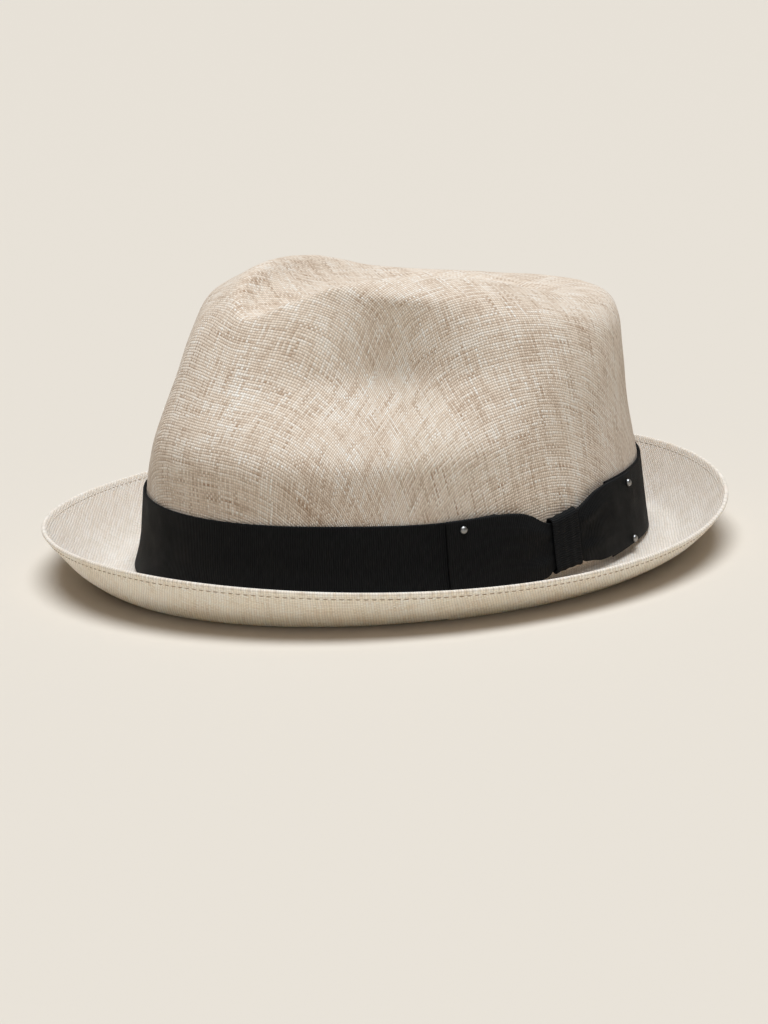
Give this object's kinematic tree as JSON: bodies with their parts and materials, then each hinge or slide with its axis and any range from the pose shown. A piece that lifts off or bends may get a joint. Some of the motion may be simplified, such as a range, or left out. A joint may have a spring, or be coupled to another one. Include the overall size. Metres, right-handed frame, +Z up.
{
  "type": "trilby hat",
  "caption": "Woven cloth trilby: blocked crown with teardrop crease and front pinches, turned-up brim, ribbon band and side bow.",
  "frame": {"origin": "middle of the hat's outer box, on the surface that the brim rests on", "axes": "+Z up, hat's front towards -Y, its back towards +Y, and the wearer's left, with the bow, towards +X"},
  "size_m": [0.2402, 0.2678, 0.1105],
  "materials": {
    "crown_cloth": "coarse linen weave in natural beige, matt",
    "brim_cloth": "coarse linen weave in pale natural beige, matt",
    "ribbon": "near-black grosgrain ribbon with fine upright ribs",
    "stud_metal": "small polished nickel domes"
  },
  "bodies": {
    "root": {"crown": "crown_cloth", "brim": "brim_cloth", "band": "ribbon", "bow": "ribbon", "bow_knot": "ribbon", "stud_1": "stud_metal", "stud_2": "stud_metal", "stud_3": "stud_metal", "stud_4": "stud_metal"}
  },
  "joints": []
}
